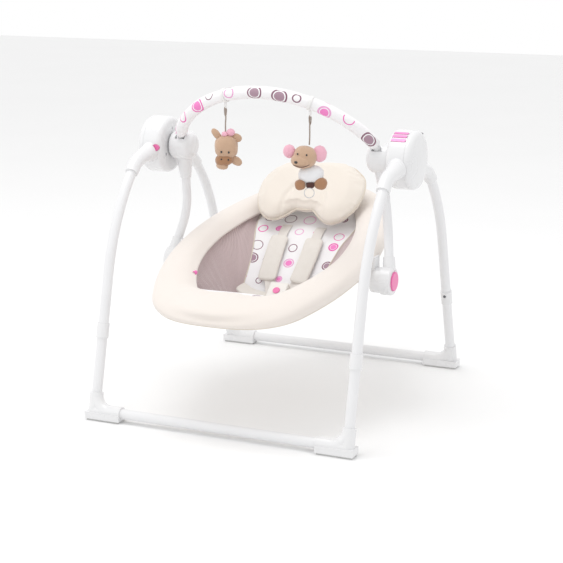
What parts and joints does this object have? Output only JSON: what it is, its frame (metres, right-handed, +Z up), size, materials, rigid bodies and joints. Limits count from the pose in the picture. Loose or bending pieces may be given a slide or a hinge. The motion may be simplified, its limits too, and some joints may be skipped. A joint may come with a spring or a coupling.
{
  "type": "baby swing",
  "caption": "Folding baby swing: two tube frames with round side hubs, swing arms, reclining oval padded seat with head pillow and harness, and an arched toy bar with plush toys.",
  "frame": {"origin": "on the floor under the hub axis, at the middle of the footprint of the whole object", "axes": "+X towards the hub with the control buttons, along the hub axis; +Y towards the head end of the seat; +Z up"},
  "size_m": [0.654, 0.7437, 0.7095],
  "materials": {
    "white_plastic": "moulded, soft gloss",
    "white_tube": "powder-coated steel tube",
    "pink_plastic": "moulded, gloss",
    "grey_plastic": "moulded, satin",
    "rubber_pad": "soft anti-slip",
    "steel": "turned, satin",
    "nylon": "natural nylon",
    "coil_copper": "enamelled copper winding",
    "board_green": "circuit board",
    "plush_cream": "short-pile plush with piping",
    "knit_mauve": "fine knit mesh",
    "print_cotton": "white cotton with printed rings",
    "strap_beige": "padded webbing",
    "buckle_white": "moulded",
    "plush_tan": "short-pile plush",
    "elastic_white": "woven elastic",
    "cord_brown": "braided cord",
    "plush_pink": "short-pile plush",
    "plush_brown": "short-pile plush"
  },
  "bodies": {
    "front_frame": {"hub_housing_left": "white_plastic", "hub_housing_right": "white_plastic", "hub_cap_left": "white_plastic", "hub_cap_right": "white_plastic", "front_leg_left": "white_tube", "front_leg_right": "white_tube", "front_base_frame": "white_tube", "front_leg_collars": "white_plastic", "front_feet": "white_plastic", "front_foot_pads": "rubber_pad", "axle_bushes": "nylon", "drive_coil": "coil_copper", "circuit_board": "board_green", "hub_screws": "steel", "dc_inlet": "grey_plastic"},
    "rear_frame": {"rear_pivot_left": "white_plastic", "rear_pivot_right": "white_plastic", "rear_leg_left": "white_tube", "rear_leg_right": "white_tube", "rear_base_frame": "white_tube", "rear_leg_collars": "white_plastic", "rear_feet": "white_plastic", "rear_foot_pads": "rubber_pad"},
    "swing_arms": {"knuckle_left": "white_plastic", "knuckle_right": "white_plastic", "swing_axle_left": "steel", "swing_axle_right": "steel", "swing_arm_left": "white_tube", "swing_arm_right": "white_tube", "recline_housing_left": "white_plastic", "recline_housing_right": "white_plastic", "drive_lever": "steel"},
    "toy_bar": {"toy_bar_sockets": "white_plastic", "toy_bar_tube": "white_tube", "toy_bar_sleeve": "print_cotton"},
    "left_toy": {"toy_left_loop": "elastic_white", "toy_left_cord": "cord_brown", "toy_left": "plush_tan"},
    "right_toy": {"toy_right_loop": "elastic_white", "toy_right_cord": "cord_brown", "toy_right": "plush_tan"},
    "seat": {"seat_frame": "white_tube", "recline_discs": "white_plastic", "seat_sling": "knit_mauve", "seat_border": "plush_cream", "pillow": "plush_cream", "harness_straps": "strap_beige", "buckle": "buckle_white"},
    "fold_button_left_body": {"fold_button_left": "pink_plastic"},
    "fold_button_right_body": {"fold_button_right": "pink_plastic"},
    "control_button_1_body": {"control_button_1": "pink_plastic"},
    "control_button_2_body": {"control_button_2": "pink_plastic"},
    "control_button_3_body": {"control_button_3": "pink_plastic"},
    "recline_button_left_body": {"recline_button_left": "pink_plastic"},
    "recline_button_right_body": {"recline_button_right": "pink_plastic"},
    "front_snap_button_left_body": {"front_snap_button_left": "grey_plastic"},
    "front_snap_button_right_body": {"front_snap_button_right": "grey_plastic"},
    "rear_snap_button_left_body": {"rear_snap_button_left": "grey_plastic"},
    "rear_snap_button_right_body": {"rear_snap_button_right": "grey_plastic"},
    "buckle_button_body": {"buckle_button": "pink_plastic"}
  },
  "joints": [
    {"name": "rear_fold", "type": "hinge", "parent": "front_frame", "child": "rear_frame", "pos_m": [0, 0, 0.556], "axis": [-1, 0, 0], "range_deg": [0, 58]},
    {"name": "swing", "type": "hinge", "parent": "front_frame", "child": "swing_arms", "pos_m": [0, 0, 0.556], "axis": [1, 0, 0], "range_deg": [-15, 15]},
    {"name": "seat_recline", "type": "hinge", "parent": "swing_arms", "child": "seat", "pos_m": [0, -0.012, 0.292], "axis": [1, 0, 0], "range_deg": [0, 20]},
    {"name": "toy_bar_tilt", "type": "hinge", "parent": "swing_arms", "child": "toy_bar", "pos_m": [0, 0, 0.556], "axis": [-1, 0, 0], "range_deg": [0, 75]},
    {"name": "left_toy_swing", "type": "hinge", "parent": "toy_bar", "child": "left_toy", "pos_m": [-0.083, -0.1002, 0.68564], "axis": [0.9511, -0.189, 0.2445], "range_deg": [-60, 60]},
    {"name": "right_toy_swing", "type": "hinge", "parent": "toy_bar", "child": "right_toy", "pos_m": [0.111, -0.09356, 0.67705], "axis": [0.9106, 0.2527, -0.327], "range_deg": [-60, 60]},
    {"name": "fold_button_left_press", "type": "slide", "parent": "front_frame", "child": "fold_button_left_body", "axis": [0, 1, 0], "range_m": [0, 0.002], "stiffness_N_per_m": 400},
    {"name": "fold_button_right_press", "type": "slide", "parent": "front_frame", "child": "fold_button_right_body", "axis": [0, -0.6157, -0.788], "range_m": [0, 0.002], "stiffness_N_per_m": 400},
    {"name": "control_button_1_press", "type": "slide", "parent": "front_frame", "child": "control_button_1_body", "axis": [0, 0.3672, -0.9302], "range_m": [0, 0.001], "stiffness_N_per_m": 400},
    {"name": "control_button_2_press", "type": "slide", "parent": "front_frame", "child": "control_button_2_body", "axis": [0, 0.5299, -0.848], "range_m": [0, 0.001], "stiffness_N_per_m": 400},
    {"name": "control_button_3_press", "type": "slide", "parent": "front_frame", "child": "control_button_3_body", "axis": [0, 0.6751, -0.7378], "range_m": [0, 0.001], "stiffness_N_per_m": 400},
    {"name": "recline_button_left_press", "type": "slide", "parent": "swing_arms", "child": "recline_button_left_body", "axis": [1, 0, 0], "range_m": [0, 0.003], "stiffness_N_per_m": 400},
    {"name": "recline_button_right_press", "type": "slide", "parent": "swing_arms", "child": "recline_button_right_body", "axis": [-1, 0, 0], "range_m": [0, 0.003], "stiffness_N_per_m": 400},
    {"name": "front_snap_button_left_press", "type": "slide", "parent": "front_frame", "child": "front_snap_button_left_body", "axis": [0, -0.9711, 0.2385], "range_m": [0, 0.003], "stiffness_N_per_m": 400},
    {"name": "front_snap_button_right_press", "type": "slide", "parent": "front_frame", "child": "front_snap_button_right_body", "axis": [0, -0.9711, 0.2385], "range_m": [0, 0.003], "stiffness_N_per_m": 400},
    {"name": "rear_snap_button_left_press", "type": "slide", "parent": "rear_frame", "child": "rear_snap_button_left_body", "axis": [0, 0.9583, 0.2857], "range_m": [0, 0.003], "stiffness_N_per_m": 400},
    {"name": "rear_snap_button_right_press", "type": "slide", "parent": "rear_frame", "child": "rear_snap_button_right_body", "axis": [0, 0.9583, 0.2857], "range_m": [0, 0.003], "stiffness_N_per_m": 400},
    {"name": "buckle_button_press", "type": "slide", "parent": "seat", "child": "buckle_button_body", "axis": [0, 0.615, -0.7885], "range_m": [0, 0.0025], "stiffness_N_per_m": 400}
  ]
}
